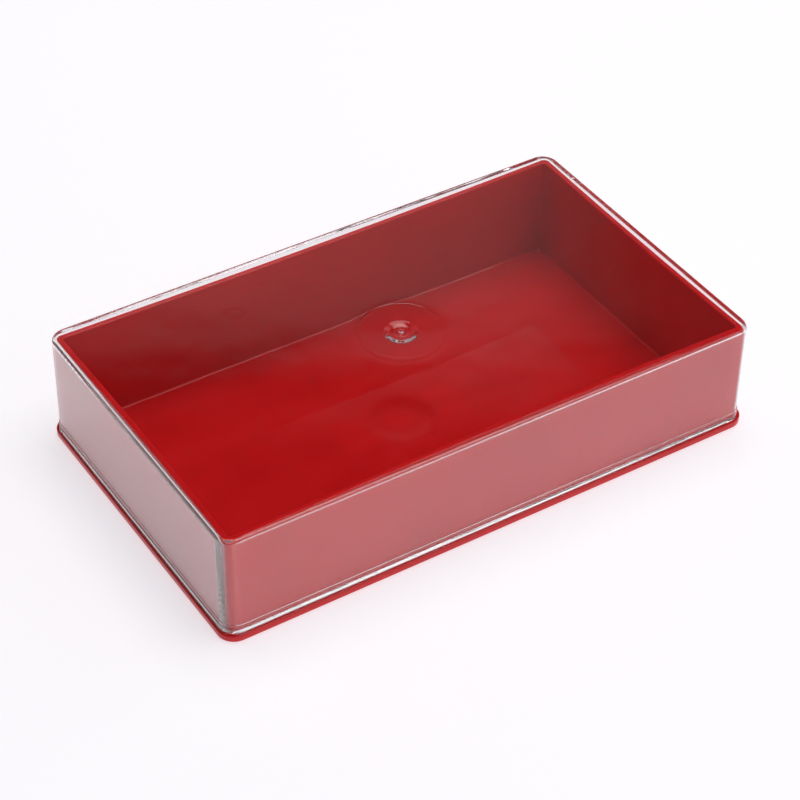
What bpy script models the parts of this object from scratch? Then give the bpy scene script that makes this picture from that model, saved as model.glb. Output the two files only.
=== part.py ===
"""Developing tray with a clear lid: a red moulded tray on a thin foot flange, and a
clear slip-over lid that stands on the flange and lifts straight off.

Metres, +Z up.  The origin is at the middle of the underside, +X along the length.
"""
import math

import bmesh
import bpy
from mathutils import Vector

MM = 0.001

# Tray: foot flange, walls and floor.
FOOT_LENGTH = 200.0 * MM
FOOT_WIDTH = 119.7 * MM
FOOT_THICKNESS = 2.5 * MM
FOOT_CORNER = 6.0 * MM
FOOT_EDGE_ROUND = 0.5 * MM

WALL_TOP_Z = 38.9 * MM
WALL_LENGTH_AT_TOP = 194.0 * MM
WALL_WIDTH_AT_TOP = 113.6 * MM
WALL_CORNER = 2.4 * MM
WALL_THICKNESS = 2.0 * MM
OUTER_DRAFT = 0.1 * MM
INNER_DRAFT = 1.1 * MM
FLOOR_THICKNESS = 2.0 * MM
FLOOR_FILLET = 0.8 * MM
INNER_CORNER = 1.1 * MM
RIM_ROUND = 0.35 * MM
FLOOR_MARK_RADIUS = 10.0 * MM
FLOOR_MARK_DEPTH = 0.15 * MM

# The tray's walls have warped inwards a little: most at the rim, mid-side.
BOW_OF_LONG_WALL = 1.15 * MM
BOW_OF_SHORT_WALL = 0.6 * MM

# Lid: outer size, shell, and the bead round its mouth.
LID_LENGTH = 198.1 * MM
LID_WIDTH = 117.8 * MM
LID_TOP_Z = 40.65 * MM
LID_CORNER = 6.0 * MM
LID_TOP_ROUND = 1.4 * MM
LID_WALL = 1.6 * MM
LID_PLATE = 1.45 * MM
LID_INNER_CORNER = 2.8 * MM
LID_INNER_TOP_ROUND = 0.4 * MM
SEAT_GAP = 0.3 * MM
BEAD_TOP_Z = 6.1 * MM
BEAD_PROJECTION = 0.35 * MM
BEAD_ROUND = 0.3 * MM

# The lip's underside rises inwards from a narrow flat ring.
LIP_FLAT = 0.3 * MM
LIP_RISE = 0.5 * MM

# Moulding gate in the middle of the lid's top: a sunk disc and well with the gate's stub,
# and under it the plate thickens in a very flat cone and then a round boss.
GATE_DISC_RADIUS = 14.2 * MM
GATE_DISC_DEPTH = 0.08 * MM
GATE_WELL_RADIUS = 3.2 * MM
GATE_WELL_DEPTH = 0.45 * MM
GATE_STUB_RADIUS = 0.9 * MM
GATE_STUB_HEIGHT = 0.35 * MM
GATE_CONE_DEPTH = 0.3 * MM
GATE_BOSS_RADIUS = 6.4 * MM
GATE_BOSS_END_RADIUS = 3.4 * MM
GATE_BOSS_DEPTH = 0.75 * MM

CORNER_SEGMENTS = 8
ROUND_SEGMENTS = 3
LONG_WALL_CUTS = 13
SHORT_WALL_CUTS = 7
WALL_HEIGHT_CUTS = 4


def clear_scene():
    """Remove every object the start-up file holds."""
    for obj in list(bpy.data.objects):
        bpy.data.objects.remove(obj, do_unlink=True)


def make_collection(name):
    """Return a new collection linked to the scene."""
    collection = bpy.data.collections.new(name)
    bpy.context.scene.collection.children.link(collection)
    return collection


def make_material(name, colour, roughness, transmission=0.0):
    """Return a Principled material."""
    material = bpy.data.materials.new(name)
    material.use_nodes = True
    shader = material.node_tree.nodes["Principled BSDF"]
    shader.inputs["Base Color"].default_value = (*colour, 1.0)
    shader.inputs["Roughness"].default_value = roughness
    shader.inputs["Metallic"].default_value = 0.0
    shader.inputs["IOR"].default_value = 1.59
    shader.inputs["Transmission Weight"].default_value = transmission
    material.diffuse_color = (*colour, 1.0)
    return material


def edges_along_z(mesh):
    """Return the mesh's upright edges."""
    upright = []
    for edge in mesh.edges:
        run = edge.verts[0].co - edge.verts[1].co
        if abs(run.z) > 0.9 * run.length:
            upright.append(edge)
    return upright


def edges_at_height(mesh, z):
    """Return the edges that lie in the plane at height z."""
    return [edge for edge in mesh.edges
            if all(abs(vert.co.z - z) < 1e-7 for vert in edge.verts)]


def bevel(mesh, edges, radius, segments):
    """Round the given edges."""
    bmesh.ops.bevel(mesh, geom=edges, offset=radius, offset_type="OFFSET",
                    segments=segments, profile=0.5, affect="EDGES", clamp_overlap=True)


def rounded_block(length, width, bottom, top, corner, bottom_round=0.0, top_round=0.0,
                  bottom_grow=0.0):
    """Return a bmesh block with rounded corners, rounded ends and drafted sides.

    length and width are those of the top; the bottom is bottom_grow larger on each side.
    """
    mesh = bmesh.new()
    bmesh.ops.create_cube(mesh, size=1.0)
    middle = 0.5 * (bottom + top)
    for vert in mesh.verts:
        grow = bottom_grow if vert.co.z < 0 else 0.0
        vert.co.x *= length + 2 * grow
        vert.co.y *= width + 2 * grow
        vert.co.z = middle + vert.co.z * (top - bottom)
    bevel(mesh, edges_along_z(mesh), corner, CORNER_SEGMENTS)
    if bottom_round:
        bevel(mesh, edges_at_height(mesh, bottom), bottom_round, ROUND_SEGMENTS)
    if top_round:
        bevel(mesh, edges_at_height(mesh, top), top_round, ROUND_SEGMENTS)
    return mesh


def spread_end(mesh, z, reach):
    """Move the vertices at height z outwards by the same reach along both sides."""
    for vert in mesh.verts:
        if abs(vert.co.z - z) < 1e-7:
            vert.co.x += math.copysign(reach, vert.co.x)
            vert.co.y += math.copysign(reach, vert.co.y)


def round_bar(radius, bottom, top, segments=40, flare=0.0):
    """Return a bmesh cylinder standing on the middle of the box.

    radius is that of the bottom; flare widens the top by that much for each metre of height.
    """
    mesh = bmesh.new()
    bmesh.ops.create_cone(mesh, cap_ends=True, segments=segments, radius1=radius,
                          radius2=radius + flare * (top - bottom), depth=top - bottom)
    bmesh.ops.translate(mesh, verts=mesh.verts, vec=Vector((0, 0, 0.5 * (bottom + top))))
    return mesh


def add_object(name, mesh, collection):
    """Turn a bmesh into an object of the given collection."""
    data = bpy.data.meshes.new(name)
    bmesh.ops.recalc_face_normals(mesh, faces=mesh.faces)
    mesh.to_mesh(data)
    mesh.free()
    obj = bpy.data.objects.new(name, data)
    collection.objects.link(obj)
    return obj


def add_cutter(name, mesh, collection):
    """Add a helper solid that only takes part in Booleans."""
    obj = add_object(name, mesh, collection)
    obj.hide_render = True
    obj.display_type = "WIRE"
    return obj


def combine(obj, other, operation):
    """Apply one exact Boolean to the object's mesh."""
    modifier = obj.modifiers.new(operation.lower(), "BOOLEAN")
    modifier.operation = operation
    modifier.solver = "EXACT"
    modifier.object = other
    depsgraph = bpy.context.evaluated_depsgraph_get()
    result = bpy.data.meshes.new_from_object(obj.evaluated_get(depsgraph))
    obj.modifiers.clear()
    before = obj.data
    obj.data = result
    bpy.data.meshes.remove(before)
    result.name = obj.name


def cut_into_bands(mesh, axis, positions):
    """Cut every face at the given positions along one axis."""
    normal = Vector((0, 0, 0))
    normal[axis] = 1.0
    for position in positions:
        geometry = mesh.verts[:] + mesh.edges[:] + mesh.faces[:]
        bmesh.ops.bisect_plane(mesh, geom=geometry, dist=1e-7, plane_co=normal * position,
                               plane_no=normal)


def evenly(low, high, count):
    """Return count positions spread evenly strictly between low and high."""
    step = (high - low) / (count + 1)
    return [low + step * (index + 1) for index in range(count)]


def bow_walls(obj):
    """Draw the middle of each wall inwards, from nothing at the foot to most at the rim."""
    half_length = 0.5 * WALL_LENGTH_AT_TOP
    half_width = 0.5 * WALL_WIDTH_AT_TOP
    mesh = bmesh.new()
    mesh.from_mesh(obj.data)
    reach_x = half_length - WALL_CORNER - MM
    reach_y = half_width - WALL_CORNER - MM
    cut_into_bands(mesh, 0, evenly(-reach_x, reach_x, LONG_WALL_CUTS))
    cut_into_bands(mesh, 1, evenly(-reach_y, reach_y, SHORT_WALL_CUTS))
    cut_into_bands(mesh, 2, evenly(FOOT_THICKNESS, WALL_TOP_Z, WALL_HEIGHT_CUTS))
    for vert in mesh.verts:
        rise = (vert.co.z - FOOT_THICKNESS) / (WALL_TOP_Z - FOOT_THICKNESS)
        if rise <= 0.0:
            continue
        along = vert.co.x / half_length
        across = vert.co.y / half_width
        vert.co.x -= along * BOW_OF_SHORT_WALL * max(0.0, 1 - across ** 2) * rise
        vert.co.y -= across * BOW_OF_LONG_WALL * max(0.0, 1 - along ** 2) * rise
    mesh.to_mesh(obj.data)
    mesh.free()


def round_sharp_edges(obj, radius, low, high):
    """Round the sharp edges whose two ends lie between two heights."""
    mesh = bmesh.new()
    mesh.from_mesh(obj.data)
    sharp = []
    for edge in mesh.edges:
        heights = [vert.co.z for vert in edge.verts]
        if low < min(heights) and max(heights) < high and edge.calc_face_angle(0) > 1.0:
            sharp.append(edge)
    bevel(mesh, sharp, radius, 2)
    mesh.to_mesh(obj.data)
    mesh.free()


def finish(obj, material):
    """Shade the rounded faces smooth and give the piece its material."""
    obj.data.materials.clear()
    obj.data.materials.append(material)
    obj.data.shade_smooth()
    obj.data.set_sharp_from_angle(angle=math.radians(35))


def build_tray(parts, cutters):
    """Build the red tray: foot flange, thin walls, and a floor with a round gate mark."""
    foot = rounded_block(FOOT_LENGTH, FOOT_WIDTH, 0.0, FOOT_THICKNESS, FOOT_CORNER,
                         FOOT_EDGE_ROUND, FOOT_EDGE_ROUND)
    walls = rounded_block(WALL_LENGTH_AT_TOP, WALL_WIDTH_AT_TOP, 0.5 * FOOT_THICKNESS,
                          WALL_TOP_Z, WALL_CORNER, bottom_grow=OUTER_DRAFT)
    inside = rounded_block(WALL_LENGTH_AT_TOP - 2 * WALL_THICKNESS,
                           WALL_WIDTH_AT_TOP - 2 * WALL_THICKNESS, FLOOR_THICKNESS,
                           WALL_TOP_Z + 2 * MM, INNER_CORNER, bottom_round=FLOOR_FILLET,
                           bottom_grow=-INNER_DRAFT)
    tray = add_object("tray", foot, parts)
    combine(tray, add_cutter("tray_walls", walls, cutters), "UNION")
    mark = round_bar(FLOOR_MARK_RADIUS, FLOOR_THICKNESS - FLOOR_MARK_DEPTH,
                     FLOOR_THICKNESS + MM)
    combine(tray, add_cutter("tray_inside", inside, cutters), "DIFFERENCE")
    combine(tray, add_cutter("tray_floor_mark", mark, cutters), "DIFFERENCE")
    bow_walls(tray)
    round_sharp_edges(tray, RIM_ROUND, WALL_TOP_Z - 0.1 * MM, WALL_TOP_Z + 0.1 * MM)
    return tray


def build_lid(parts, cutters):
    """Build the clear lid: a thin shell with a bead round its mouth and a gate mark."""
    mouth = FOOT_THICKNESS + SEAT_GAP
    shell = rounded_block(LID_LENGTH, LID_WIDTH, mouth, LID_TOP_Z, LID_CORNER,
                          top_round=LID_TOP_ROUND)
    bead = rounded_block(LID_LENGTH + 2 * BEAD_PROJECTION, LID_WIDTH + 2 * BEAD_PROJECTION,
                         mouth, BEAD_TOP_Z, LID_CORNER + BEAD_PROJECTION,
                         top_round=BEAD_ROUND)
    hollow = rounded_block(LID_LENGTH - 2 * LID_WALL, LID_WIDTH - 2 * LID_WALL,
                           mouth - 2 * MM, LID_TOP_Z - LID_PLATE, LID_INNER_CORNER,
                           top_round=LID_INNER_TOP_ROUND)
    lid = add_object("lid", shell, parts)
    combine(lid, add_cutter("lid_bead", bead, cutters), "UNION")
    combine(lid, add_cutter("lid_hollow", hollow, cutters), "DIFFERENCE")
    below = 0.1 * MM
    flare = rounded_block(LID_LENGTH - 2 * LID_WALL, LID_WIDTH - 2 * LID_WALL, mouth - below,
                          mouth + LIP_RISE, LID_CORNER)
    reach = LID_WALL + BEAD_PROJECTION - LIP_FLAT
    spread_end(flare, mouth - below, reach * (LIP_RISE + below) / LIP_RISE)
    combine(lid, add_cutter("lip_flare", flare, cutters), "DIFFERENCE")
    top = LID_TOP_Z
    under = top - LID_PLATE
    boss_top = under - GATE_CONE_DEPTH
    overlap = 0.1 * MM
    cone = round_bar(GATE_BOSS_RADIUS, boss_top, under + overlap,
                     flare=(GATE_DISC_RADIUS - GATE_BOSS_RADIUS) / GATE_CONE_DEPTH)
    boss = round_bar(GATE_BOSS_END_RADIUS, boss_top - GATE_BOSS_DEPTH, boss_top + overlap,
                     flare=(GATE_BOSS_RADIUS - GATE_BOSS_END_RADIUS) / GATE_BOSS_DEPTH)
    combine(lid, add_cutter("gate_cone", cone, cutters), "UNION")
    combine(lid, add_cutter("gate_boss", boss, cutters), "UNION")
    disc = round_bar(GATE_DISC_RADIUS, top - GATE_DISC_DEPTH, top + MM)
    well = round_bar(GATE_WELL_RADIUS, top - GATE_WELL_DEPTH, top + MM)
    stub_bottom = top - GATE_WELL_DEPTH - 0.2 * MM
    stub_top = top - GATE_WELL_DEPTH + GATE_STUB_HEIGHT
    stub = round_bar(GATE_STUB_RADIUS, stub_bottom, stub_top, segments=16)
    combine(lid, add_cutter("gate_disc", disc, cutters), "DIFFERENCE")
    combine(lid, add_cutter("gate_well", well, cutters), "DIFFERENCE")
    combine(lid, add_cutter("gate_stub", stub, cutters), "UNION")
    return lid


def main():
    """Build both pieces."""
    clear_scene()
    parts = make_collection("developing_tray")
    cutters = make_collection("cutters")
    red = make_material("tray", (0.42, 0.012, 0.014), 0.12)
    clear = make_material("lid", (0.97, 0.97, 0.98), 0.03, transmission=1.0)
    finish(build_tray(parts, cutters), red)
    finish(build_lid(parts, cutters), clear)


main()
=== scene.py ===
"""The look of the red developing tray and its clear slip-over lid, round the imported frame."""
import math

import bmesh
import bpy
from mathutils import Matrix, Vector


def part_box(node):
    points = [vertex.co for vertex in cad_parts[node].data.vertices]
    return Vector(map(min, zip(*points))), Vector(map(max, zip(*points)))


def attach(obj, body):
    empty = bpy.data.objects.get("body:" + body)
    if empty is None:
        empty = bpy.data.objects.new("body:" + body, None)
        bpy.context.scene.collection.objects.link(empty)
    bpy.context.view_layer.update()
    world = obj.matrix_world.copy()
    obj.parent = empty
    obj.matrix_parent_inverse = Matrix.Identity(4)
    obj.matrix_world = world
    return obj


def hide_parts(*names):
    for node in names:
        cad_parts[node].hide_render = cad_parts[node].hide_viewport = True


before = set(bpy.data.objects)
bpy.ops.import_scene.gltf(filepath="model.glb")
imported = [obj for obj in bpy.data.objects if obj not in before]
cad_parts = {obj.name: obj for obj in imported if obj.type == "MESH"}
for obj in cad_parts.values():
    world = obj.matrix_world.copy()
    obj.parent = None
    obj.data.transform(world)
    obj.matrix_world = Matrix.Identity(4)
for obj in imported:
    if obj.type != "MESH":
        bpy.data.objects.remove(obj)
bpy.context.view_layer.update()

MM = 0.001

# Everything below hangs on the two CAD boxes.
tray_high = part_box("tray")[1]
lid_low, lid_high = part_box("lid")

# Tray: foot flange, wall and floor.
FOOT_HALF = (tray_high.x, tray_high.y)
FOOT_TOP_Z = 2.5 * MM
FOOT_CORNER = 6.0 * MM
FOOT_EDGE = 0.45 * MM
WALL_HALF = (97.0 * MM, 56.8 * MM)
WALL_CORNER = 2.4 * MM
WALL_INNER_CORNER = 1.1 * MM
WALL_THICKNESS = 2.0 * MM
WALL_ROOT = 0.3 * MM
OUTER_DRAFT = 0.1 * MM
INNER_DRAFT = 1.1 * MM
LONG_WALL_BOW = 1.15 * MM
SHORT_WALL_BOW = 0.6 * MM
RIM_Z = tray_high.z
RIM_ROUND = 0.45 * MM
FLOOR_Z = 2.0 * MM
FLOOR_FILLET = 0.8 * MM
FLOOR_CROWN = 0.3 * MM
FLOOR_MARK_RADIUS = 10.0 * MM
FLOOR_MARK_DEPTH = 0.02 * MM

# Lid: shell, bead round the mouth, and lip.
BEAD_PROJECTION = 0.35 * MM
LID_HALF = (lid_high.x - BEAD_PROJECTION, lid_high.y - BEAD_PROJECTION)
LID_CORNER = 6.0 * MM
MOUTH_Z = lid_low.z
LID_TOP_Z = lid_high.z
BEAD_TOP_Z = 6.1 * MM
BEAD_STEP_Z = BEAD_TOP_Z - 1.2 * MM
LID_WALL = 1.6 * MM
LID_PLATE = 1.45 * MM
LID_FILLET = 1.4 * MM
LID_INNER_CORNER = 2.8 * MM
LID_INNER_FILLET = 0.4 * MM
LIP_ROUND = 0.12 * MM
LIP_RISE = 0.5 * MM

# Moulding gate in the middle of the lid: disc, well and stub above, cone and boss below.
DISC_RADIUS, DISC_DEPTH = 14.2 * MM, 0.08 * MM
WELL_RADIUS, WELL_FLOOR_RADIUS, WELL_DEPTH = 4.0 * MM, 2.0 * MM, 0.45 * MM
STUB_RADIUS, STUB_HEIGHT = 0.9 * MM, 0.35 * MM
CONE_DEPTH = 0.3 * MM
BOSS_RADIUS, BOSS_END_RADIUS, BOSS_DEPTH = 6.4 * MM, 3.2 * MM, 0.75 * MM

# A ring this far from each edge keeps the flat faces beside a rounding flat.
HOLD = 0.12 * MM

# Points round one section: each corner, each long side and each short side.
CORNER_STEPS = 12
LONG_STEPS = 36
SHORT_STEPS = 20


# ---------------------------------------------------------------- sections and lofts

def rounded_section(half, inset, radius):
    """Points round a rounded rectangle, anticlockwise from the +X side's lower end."""
    half_x, half_y = half[0] - inset, half[1] - inset
    reach_x, reach_y = half_x - radius, half_y - radius
    corners = ((reach_x, reach_y), (-reach_x, reach_y), (-reach_x, -reach_y), (reach_x, -reach_y))
    points = []
    for index, (centre_x, centre_y) in enumerate(corners):
        for step in range(CORNER_STEPS + 1):
            angle = math.radians(90) * (index + step / CORNER_STEPS)
            points.append((centre_x + radius * math.cos(angle), centre_y + radius * math.sin(angle)))
        start = points[-1]
        next_x, next_y = corners[(index + 1) % 4]
        angle = math.radians(90) * (index + 1)
        end = (next_x + radius * math.cos(angle), next_y + radius * math.sin(angle))
        steps = LONG_STEPS if index % 2 == 0 else SHORT_STEPS
        for step in range(1, steps):
            share = step / steps
            points.append((start[0] + (end[0] - start[0]) * share,
                           start[1] + (end[1] - start[1]) * share))
    return points


BEARINGS = [math.atan2(y, x) for x, y in rounded_section(LID_HALF, 0.0, LID_CORNER)]


def round_section(radius):
    """Points round a circle, one on each of the bearings of a rounded rectangle's points."""
    return [(radius * math.cos(bearing), radius * math.sin(bearing)) for bearing in BEARINGS]


def at_height(section, z):
    """Lift a flat section to a height."""
    return [(x, y, z) for x, y in section]


def face_outwards(mesh):
    """Turn every face of a closed mesh outwards."""
    shape = bmesh.new()
    shape.from_mesh(mesh)
    bmesh.ops.recalc_face_normals(shape, faces=shape.faces)
    shape.to_mesh(mesh)
    shape.free()


def loft(name, rings, first_pole, last_pole):
    """Build one closed mesh through a run of rings, closed by a point at each end."""
    count = len(rings[0])
    verts = [point for ring in rings for point in ring]
    faces = []
    for ring in range(len(rings) - 1):
        for step in range(count):
            following = (step + 1) % count
            faces.append((ring * count + step, ring * count + following,
                          (ring + 1) * count + following, (ring + 1) * count + step))
    for pole, ring in ((first_pole, 0), (last_pole, len(rings) - 1)):
        verts.append(pole)
        for step in range(count):
            pair = (ring * count + step, ring * count + (step + 1) % count)
            pair = pair if ring else pair[::-1]
            faces.append((*pair, len(verts) - 1))
    mesh = bpy.data.meshes.new(name)
    mesh.from_pydata(verts, [], faces)
    face_outwards(mesh)
    mesh.shade_smooth()
    mesh.set_sharp_from_angle(angle=math.radians(50))
    obj = bpy.data.objects.new(name, mesh)
    bpy.context.scene.collection.objects.link(obj)
    return obj


def arc(centre, radius, start, end, steps):
    """Points (inset, z) along an arc in the wall's own section, angles in degrees."""
    points = []
    for step in range(steps + 1):
        angle = math.radians(start + (end - start) * step / steps)
        points.append((centre[0] + radius * math.cos(angle), centre[1] + radius * math.sin(angle)))
    return points


def bowed(ring):
    """Draw a ring of the tray's wall inwards towards the middle of each side."""
    moved = []
    for x, y, z in ring:
        rise = min(1.0, max(0.0, (z - FOOT_TOP_Z) / (RIM_Z - FOOT_TOP_Z)))
        along, across = x / WALL_HALF[0], y / WALL_HALF[1]
        moved.append((x - along * SHORT_WALL_BOW * max(0.0, 1 - across ** 2) * rise,
                      y - across * LONG_WALL_BOW * max(0.0, 1 - along ** 2) * rise, z))
    return moved


# ---------------------------------------------------------------- tray

def build_tray():
    """The red moulding: underside, foot flange, wall, rim, wall's inner face and floor."""
    rings = []

    def foot(profile):
        for inset, z in profile:
            rings.append(at_height(rounded_section(FOOT_HALF, inset, FOOT_CORNER - inset), z))

    def wall(profile):
        for inset, z in profile:
            radius = WALL_CORNER - inset
            rings.append(bowed(at_height(rounded_section(WALL_HALF, inset, radius), z)))

    def wall_inside(profile):
        for inset, z in profile:
            section = rounded_section(WALL_HALF, inset, WALL_INNER_CORNER)
            rings.append(bowed(at_height(section, z)))

    # Underside and foot flange.
    underside_ring, flat_inset = 20 * MM, 2.2 * MM
    rings.append(at_height(round_section(underside_ring), 0.0))
    foot([(flat_inset, 0.0), (FOOT_EDGE + HOLD, 0.0)])
    foot(arc((FOOT_EDGE, FOOT_EDGE), FOOT_EDGE, 270, 180, 5))
    foot(arc((FOOT_EDGE, FOOT_TOP_Z - FOOT_EDGE), FOOT_EDGE, 180, 90, 5))
    foot([(FOOT_EDGE + HOLD, FOOT_TOP_Z)])
    # The wall rises from the flange with a small root fillet and a slight draft.
    wall([(-OUTER_DRAFT - WALL_ROOT - HOLD, FOOT_TOP_Z)])
    wall(arc((-OUTER_DRAFT - WALL_ROOT, FOOT_TOP_Z + WALL_ROOT), WALL_ROOT, 270, 360, 4))
    steps = 10
    start_z = FOOT_TOP_Z + WALL_ROOT + HOLD
    end_z = RIM_Z - RIM_ROUND - HOLD
    for step in range(steps + 1):
        share = step / steps
        wall([(-OUTER_DRAFT * (1 - share), start_z + (end_z - start_z) * share)])
    # Rim.
    wall(arc((RIM_ROUND, RIM_Z - RIM_ROUND), RIM_ROUND, 180, 90, 5))
    wall([(RIM_ROUND + HOLD, RIM_Z), (WALL_THICKNESS - RIM_ROUND - HOLD, RIM_Z)])
    wall_inside(arc((WALL_THICKNESS - RIM_ROUND, RIM_Z - RIM_ROUND), RIM_ROUND, 90, 0, 5))
    # Inner face, down to the fillet round the floor.
    bottom_z = FLOOR_Z + FLOOR_FILLET + HOLD
    for step in range(steps + 1):
        share = step / steps
        wall_inside([(WALL_THICKNESS + INNER_DRAFT * share, end_z + (bottom_z - end_z) * share)])
    fillet_inset = WALL_THICKNESS + INNER_DRAFT + FLOOR_FILLET
    wall_inside(arc((fillet_inset, FLOOR_Z + FLOOR_FILLET), FLOOR_FILLET, 180, 270, 5))
    wall_inside([(fillet_inset + HOLD, FLOOR_Z)])
    # The floor crowns a little towards the middle, where its own gate left a round mark.
    edge_inset = fillet_inset + HOLD
    crown_reach, crown_corner, least_corner = 50 * MM, 14 * MM, 1.0 * MM
    for step in range(1, 8):
        share = step / 10
        z = FLOOR_Z + FLOOR_CROWN * (1 - (1 - share) ** 2)
        section = rounded_section(WALL_HALF, edge_inset + crown_reach * share,
                                  max(least_corner, crown_corner * share))
        rings.append(at_height(section, z))
    middle_z = FLOOR_Z + FLOOR_CROWN
    outside_radius, inside_radius = 13 * MM, 5 * MM
    mark_profile = ((outside_radius, 0.0), (FLOOR_MARK_RADIUS + 0.3 * MM, 0.0),
                    (FLOOR_MARK_RADIUS + 0.1 * MM, 0.3), (FLOOR_MARK_RADIUS - 0.1 * MM, 0.7),
                    (FLOOR_MARK_RADIUS - 0.3 * MM, 1.0), (inside_radius, 1.0))
    for radius, drop in mark_profile:
        rings.append(at_height(round_section(radius), middle_z - drop * FLOOR_MARK_DEPTH))
    return loft("tray_moulding", rings, (0, 0, 0), (0, 0, middle_z - FLOOR_MARK_DEPTH))


# ---------------------------------------------------------------- lid

def eased(share):
    """Smooth rise from 0 to 1."""
    return 0.5 * (1 - math.cos(math.pi * share))


def build_lid():
    """The clear moulding: gate mark, top, wall, bead, mouth and the whole inner face."""
    rings = []
    least_corner = 0.6 * MM

    def flat_round(profile):
        for radius, z in profile:
            rings.append(at_height(round_section(radius), z))

    def outer(profile):
        for inset, z in profile:
            rings.append(at_height(rounded_section(LID_HALF, inset, LID_CORNER - inset), z))

    def inner(profile):
        for inset, z in profile:
            radius = max(least_corner, LID_INNER_CORNER - (inset - LID_WALL))
            rings.append(at_height(rounded_section(LID_HALF, inset, radius), z))

    # Gate stub, a nipped-off nub in a shallow well, in the middle of a barely sunk disc.
    top = LID_TOP_Z
    stub_foot = top - WELL_DEPTH
    stub_top = stub_foot + STUB_HEIGHT
    for across, up in ((0.35, 1.0), (0.7, 0.85), (0.95, 0.45), (1.15, 0.1), (1.5, 0.0)):
        flat_round([(across * STUB_RADIUS, stub_foot + up * STUB_HEIGHT)])
    well_steps = 8
    for step in range(well_steps + 1):
        share = step / well_steps
        flat_round([(WELL_FLOOR_RADIUS + (WELL_RADIUS - WELL_FLOOR_RADIUS) * share,
                     stub_foot + (WELL_DEPTH - DISC_DEPTH) * eased(share))])
    disc_floor, beside_well, beyond_disc = top - DISC_DEPTH, 5.5 * MM, 18.0 * MM
    flat_round([(beside_well, disc_floor), (DISC_RADIUS - 2 * HOLD, disc_floor),
                (DISC_RADIUS - HOLD, disc_floor), (DISC_RADIUS, top - 0.5 * DISC_DEPTH),
                (DISC_RADIUS + HOLD, top), (DISC_RADIUS + 2 * HOLD, top), (beyond_disc, top)])
    # Top, its rounded edge, and the wall.
    outer([(LID_FILLET + HOLD, top)])
    outer(reversed(arc((LID_FILLET, top - LID_FILLET), LID_FILLET, 180, 90, 8)))
    above_bead = 0.3 * MM
    outer([(0.0, top - LID_FILLET - HOLD), (0.0, BEAD_TOP_Z + above_bead)])
    # Bead round the mouth, in two fine steps.
    shoulder = 0.5 * BEAD_PROJECTION
    outer([(0.0, BEAD_TOP_Z + HOLD)])
    outer(reversed(arc((0.0, BEAD_TOP_Z - shoulder), shoulder, 180, 90, 5)))
    outer([(-shoulder, BEAD_TOP_Z - shoulder - HOLD), (-shoulder, BEAD_STEP_Z + HOLD)])
    outer(reversed(arc((-shoulder, BEAD_STEP_Z - shoulder), shoulder, 180, 90, 5)))
    # Lip: its underside rises inwards, which sends light up inside the wall.
    outer(arc((LIP_ROUND - BEAD_PROJECTION, MOUTH_Z + LIP_ROUND), LIP_ROUND, 180, 270, 4))
    outer([(LIP_ROUND - BEAD_PROJECTION + HOLD, MOUTH_Z)])
    lip_z = MOUTH_Z + LIP_RISE
    inner([(LID_WALL - LIP_ROUND - HOLD, lip_z)])
    inner(arc((LID_WALL - LIP_ROUND, lip_z + LIP_ROUND), LIP_ROUND, 285, 360, 4))
    # Inner face.
    under = top - LID_PLATE
    inner([(LID_WALL, lip_z + LIP_ROUND + HOLD), (LID_WALL, under - LID_INNER_FILLET - HOLD)])
    inner(arc((LID_WALL + LID_INNER_FILLET, under - LID_INNER_FILLET), LID_INNER_FILLET,
              180, 90, 6))
    inner([(LID_WALL + LID_INNER_FILLET + HOLD, under)])
    # Under the gate the plate thickens: a very flat cone, then a round boss in its middle.
    cone_edge_drop = 0.01 * MM
    flat_round([(beyond_disc, under), (DISC_RADIUS + 2 * HOLD, under),
                (DISC_RADIUS, under - cone_edge_drop)])
    cone_steps, boss_steps = 4, 12
    for step in range(1, cone_steps + 1):
        share = step / cone_steps
        flat_round([(DISC_RADIUS + (BOSS_RADIUS - DISC_RADIUS) * share,
                     under - CONE_DEPTH * share)])
    for step in range(1, boss_steps + 1):
        share = step / boss_steps
        flat_round([(BOSS_RADIUS + (BOSS_END_RADIUS - BOSS_RADIUS) * share,
                     under - CONE_DEPTH - BOSS_DEPTH * eased(share))])
    boss_end_z = under - CONE_DEPTH - BOSS_DEPTH
    flat_round([(0.5 * BOSS_END_RADIUS, boss_end_z)])
    return loft("lid_moulding", rings, (0, 0, stub_top), (0, 0, boss_end_z))


# ---------------------------------------------------------------- materials

def new_material(name):
    """A material with its node tree and its shader."""
    material = bpy.data.materials.new(name)
    material.use_nodes = True
    nodes = material.node_tree.nodes
    return material, nodes, material.node_tree.links, nodes["Principled BSDF"]


def set_sockets(node, values):
    """Set a node's input sockets by name."""
    for name, value in values.items():
        node.inputs[name].default_value = value


def map_range(nodes, links, value, source, result, smooth=True):
    """Map the range source onto the range result, whose low end may itself be a socket."""
    span = nodes.new("ShaderNodeMapRange")
    if smooth:
        span.interpolation_type = "SMOOTHSTEP"
    set_sockets(span, {"From Min": source[0], "From Max": source[1], "To Max": result[1]})
    if isinstance(result[0], bpy.types.NodeSocket):
        links.new(result[0], span.inputs["To Min"])
    else:
        span.inputs["To Min"].default_value = result[0]
    links.new(value, span.inputs["Value"])
    return span.outputs["Result"]


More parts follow.
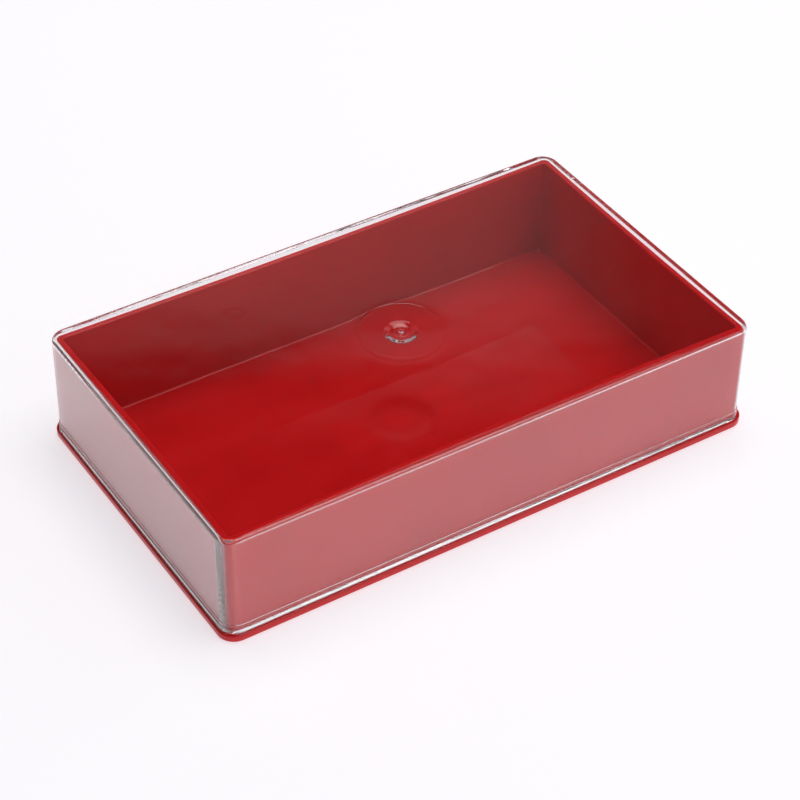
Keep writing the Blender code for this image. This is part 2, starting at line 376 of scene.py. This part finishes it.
class Pattern:
    """Node helpers for patterns laid out in the piece's own coordinates."""

    def __init__(self, nodes, links):
        self.nodes, self.links = nodes, links
        self.place = nodes.new("ShaderNodeTexCoord").outputs["Object"]

    def noise(self, scale, detail, stretch=(1.0, 1.0, 1.0), turn=0.0):
        """Noise, stretched along the piece's axes once turned about +Z by degrees."""
        where = self.nodes.new("ShaderNodeMapping")
        set_sockets(where, {"Rotation": (0, 0, math.radians(turn)), "Scale": stretch})
        noise = self.nodes.new("ShaderNodeTexNoise")
        set_sockets(noise, {"Scale": scale, "Detail": detail})
        self.links.new(self.place, where.inputs["Vector"])
        self.links.new(where.outputs["Vector"], noise.inputs["Vector"])
        return noise.outputs["Fac"]

    def spread(self, value, source, result):
        """Map one range smoothly onto another."""
        return map_range(self.nodes, self.links, value, source, result)

    def add(self, *values):
        """Sum of several values."""
        total = values[0]
        for value in values[1:]:
            adder = self.nodes.new("ShaderNodeMath")
            self.links.new(total, adder.inputs[0])
            self.links.new(value, adder.inputs[1])
            total = adder.outputs["Value"]
        return total

    def colours(self, value, stops):
        """Colour ramp through (position, colour) stops."""
        ramp = self.nodes.new("ShaderNodeValToRGB")
        elements = ramp.color_ramp.elements
        while len(elements) < len(stops):
            elements.new(0.5)
        for element, (position, colour) in zip(elements, stops):
            element.position = position
            element.color = (*colour, 1)
        self.links.new(value, ramp.inputs["Fac"])
        return ramp.outputs["Color"]

    def round_step(self, centre, radius, inside):
        """Height inside within a circle and 0 outside it, with a soft step between."""
        soft = 0.25 * MM
        reach = self.nodes.new("ShaderNodeVectorMath")
        reach.operation = "DISTANCE"
        reach.inputs[1].default_value = centre
        self.links.new(self.place, reach.inputs[0])
        return self.spread(reach.outputs["Value"], (radius - soft, radius + soft), (inside, 0.0))

    def bump(self, height, distance):
        """Normal for a height pattern."""
        bump = self.nodes.new("ShaderNodeBump")
        set_sockets(bump, {"Strength": 1.0, "Distance": distance})
        self.links.new(height, bump.inputs["Height"])
        return bump.outputs["Normal"]


def red_plastic():
    """Glossy red moulding: faint flow marks, rubbed patches and hairline scuffs."""
    material, nodes, links, shader = new_material("red_polystyrene")
    pattern = Pattern(nodes, links)
    flow = pattern.noise(scale=26.0, detail=3.0, stretch=(1.0, 2.2, 1.0), turn=25)
    colour = pattern.colours(flow, ((0.3, (0.585, 0.004, 0.006)),
                                    (0.5, (0.63, 0.006, 0.008)),
                                    (0.7, (0.665, 0.009, 0.012))))
    rubbed = pattern.spread(pattern.noise(scale=45.0, detail=4.0), (0.35, 0.75), (0.02, 0.045))
    hairlines = pattern.noise(scale=60.0, detail=2.0, stretch=(1.0, 34.0, 1.0), turn=32)
    scuffs = pattern.spread(hairlines, (0.66, 0.76), (0.0, 0.06))
    waves = pattern.noise(scale=85.0, detail=2.0)
    wave_height = 0.03 * MM
    links.new(colour, shader.inputs["Base Color"])
    links.new(pattern.add(rubbed, scuffs), shader.inputs["Roughness"])
    links.new(pattern.bump(waves, wave_height), shader.inputs["Normal"])
    set_sockets(shader, {"IOR": 1.5, "Specular IOR Level": 0.4})
    return material


def clear_plastic():
    """Clear moulding: faint stress tints, slow ripples, hairline scuffs and ejector rings."""
    material, nodes, links, shader = new_material("clear_polystyrene")
    pattern = Pattern(nodes, links)
    stress = pattern.noise(scale=34.0, detail=1.0, stretch=(1.0, 1.0, 1.6), turn=15)
    colour = pattern.colours(stress, ((0.30, (0.988, 0.999, 0.993)),
                                      (0.45, (0.998, 0.996, 0.998)),
                                      (0.58, (0.999, 0.974, 0.988)),
                                      (0.70, (0.988, 0.98, 0.999))))
    hairlines = pattern.noise(scale=55.0, detail=2.0, stretch=(1.0, 30.0, 1.0), turn=-40)
    scuffs = pattern.spread(hairlines, (0.66, 0.76), (0.0, 0.04))
    haze = pattern.spread(pattern.noise(scale=50.0, detail=3.0), (0.35, 0.75), (0.006, 0.02))
    ripple = pattern.noise(scale=70.0, detail=1.0)
    # Ejector marks under the top: x, y and radius in millimetres, and height as a share.
    under = LID_TOP_Z - LID_PLATE
    marks = ((-41.7, 35.8, 3.4, -0.25), (-41.7, 35.8, 2.2, 0.25),
             (-22.6, 21.6, 1.3, -0.3), (-22.4, 9.3, 1.3, -0.3))
    rings = [pattern.round_step((x * MM, y * MM, under), radius * MM, height)
             for x, y, radius, height in marks]
    relief_height = 0.05 * MM
    links.new(colour, shader.inputs["Base Color"])
    links.new(pattern.add(haze, scuffs), shader.inputs["Roughness"])
    links.new(pattern.bump(pattern.add(ripple, *rings), relief_height), shader.inputs["Normal"])
    set_sockets(shader, {"IOR": 1.5, "Transmission Weight": 1.0})
    # Shadow rays go straight through, as a clear sheet lets light through.
    path = nodes.new("ShaderNodeLightPath")
    through = nodes.new("ShaderNodeBsdfTransparent")
    through.inputs["Color"].default_value = (0.84, 0.84, 0.85, 1)
    mix = nodes.new("ShaderNodeMixShader")
    links.new(path.outputs["Is Shadow Ray"], mix.inputs["Fac"])
    links.new(shader.outputs["BSDF"], mix.inputs[1])
    links.new(through.outputs["BSDF"], mix.inputs[2])
    links.new(mix.outputs["Shader"], nodes["Material Output"].inputs["Surface"])
    return material


def dress(obj, material, body, node):
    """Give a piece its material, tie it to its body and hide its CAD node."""
    obj.data.materials.append(material)
    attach(obj, body)
    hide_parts(node)


# ---------------------------------------------------------------- stage

TENT_COLOUR = (0.98, 0.95, 1.0, 1)


def stage_sheet(name, corners, material):
    """A flat four-cornered sheet that belongs to the studio."""
    mesh = bpy.data.meshes.new(name)
    mesh.from_pydata(corners, [], [(0, 1, 2, 3)])
    mesh.materials.append(material)
    sheet = bpy.data.objects.new(name, mesh)
    bpy.context.scene.collection.objects.link(sheet)


def build_floor():
    """Pale table that glows a little, so that it stays bright round the box."""
    size, z = 3.0, -0.0002
    material, nodes, links, shader = new_material("pale_table")
    set_sockets(shader, {"Base Color": (0.6, 0.6, 0.6, 1), "Roughness": 0.9,
                         "Emission Color": TENT_COLOUR, "Emission Strength": 0.61})
    stage_sheet("floor", [(-size, -size, z), (size, -size, z), (size, size, z), (-size, size, z)],
                material)


def build_backdrop():
    """Grey card behind the box, out of the picture: only the glossy floor and lid mirror it."""
    middle = Vector((0.60, 0.92, 0.0))
    along = Vector((0.838, -0.546, 0.0))
    bottom, top = 0.45, 1.1
    corners = [middle + along * reach + Vector((0, 0, height))
               for reach, height in ((-1.0, bottom), (1.0, bottom), (1.0, top), (-1.0, top))]
    material, nodes, links, shader = new_material("grey_card")
    set_sockets(shader, {"Base Color": (0.02, 0.02, 0.02, 1), "Roughness": 1.0,
                         "Emission Color": (1, 1, 1, 1)})
    place = nodes.new("ShaderNodeTexCoord")
    split = nodes.new("ShaderNodeSeparateXYZ")
    links.new(place.outputs["Object"], split.inputs["Vector"])
    # Its glow dims towards the right-hand end and dies away towards the top.
    glow = map_range(nodes, links, split.outputs["X"], (0.64, 0.80), (0.23, 0.03))
    glow = map_range(nodes, links, split.outputs["Z"], (0.88, 0.99), (glow, 0.0))
    links.new(glow, shader.inputs["Emission Strength"])
    stage_sheet("backdrop", corners, material)


def area_light(name, location, size, power):
    """A softbox that faces the box."""
    data = bpy.data.lights.new(name, "AREA")
    data.shape = "RECTANGLE"
    data.size, data.size_y = size
    data.energy = power
    light = bpy.data.objects.new(name, data)
    light.location = location
    light.rotation_euler = (-Vector(location)).to_track_quat("-Z", "Y").to_euler()
    bpy.context.scene.collection.objects.link(light)


def build_light():
    """A light tent, dimmer on the camera's side, and five softboxes."""
    world = bpy.data.worlds.new("studio")
    bpy.context.scene.world = world
    world.use_nodes = True
    nodes, links = world.node_tree.nodes, world.node_tree.links
    background = nodes["Background"]
    background.inputs["Color"].default_value = TENT_COLOUR
    place = nodes.new("ShaderNodeTexCoord")

    def share_towards(direction):
        share = nodes.new("ShaderNodeVectorMath")
        share.operation = "DOT_PRODUCT"
        share.inputs[1].default_value = direction
        links.new(place.outputs["Generated"], share.inputs[0])
        return share.outputs["Value"]

    away_from_camera = share_towards((0.87, 0.5, 0.0))
    tent = map_range(nodes, links, away_from_camera, (-0.6, 0.8), (0.10, 0.55), smooth=False)
    # The dark opening that the lid's top mirrors towards the camera.
    turn, rise = math.radians(55), math.radians(45)
    opening = share_towards((math.cos(turn) * math.cos(rise), math.sin(turn) * math.cos(rise),
                             math.sin(rise)))
    rim, core = math.cos(math.radians(34)), math.cos(math.radians(14))
    tent = map_range(nodes, links, opening, (rim, core), (tent, 0.025))
    links.new(tent, background.inputs["Strength"])
    area_light("top_softbox", (0.25, 0.05, 1.3), (1.3, 0.9), 8.2)
    area_light("front_softbox", (0.62, -1.40, 1.29), (0.9, 0.7), 1.0)
    area_light("low_softbox", (0.3, -1.5, 0.14), (1.8, 0.25), 3.6)
    area_light("back_softbox", (-0.9, 1.3, 1.2), (1.4, 1.0), 0.7)
    area_light("right_softbox", (1.5, 0.15, 0.9), (1.0, 1.0), 1.5)


def build_camera():
    """Camera on the photograph's line of sight."""
    azimuth, elevation = math.radians(-32.945), math.radians(40.243)
    roll, distance = math.radians(0.859), 0.8444
    target = Vector((0.00697, 0.01088, 0.0))
    back = Vector((math.sin(azimuth) * math.cos(elevation),
                   -math.cos(azimuth) * math.cos(elevation), math.sin(elevation)))
    data = bpy.data.cameras.new("camera")
    data.sensor_width = 36.0
    data.lens = 112.06
    data.clip_start, data.clip_end = 0.05, 20.0
    camera = bpy.data.objects.new("camera", data)
    turn = (-back).to_track_quat("-Z", "Y").to_matrix() @ Matrix.Rotation(roll, 3, "Z")
    camera.matrix_world = Matrix.Translation(target + back * distance) @ turn.to_4x4()
    bpy.context.scene.collection.objects.link(camera)
    bpy.context.scene.camera = camera


def main():
    """Build both pieces and the studio."""
    dress(build_tray(), red_plastic(), "tray", "tray")
    dress(build_lid(), clear_plastic(), "lid", "lid")
    build_floor()
    build_backdrop()
    build_light()
    build_camera()
    bpy.context.scene.view_settings.view_transform = "Standard"
    # The lid's walls carry light along inside them, which takes many bounces.
    bounces = 96
    cycles = bpy.context.scene.cycles
    cycles.max_bounces = bounces
    cycles.glossy_bounces = bounces
    cycles.transmission_bounces = bounces


main()
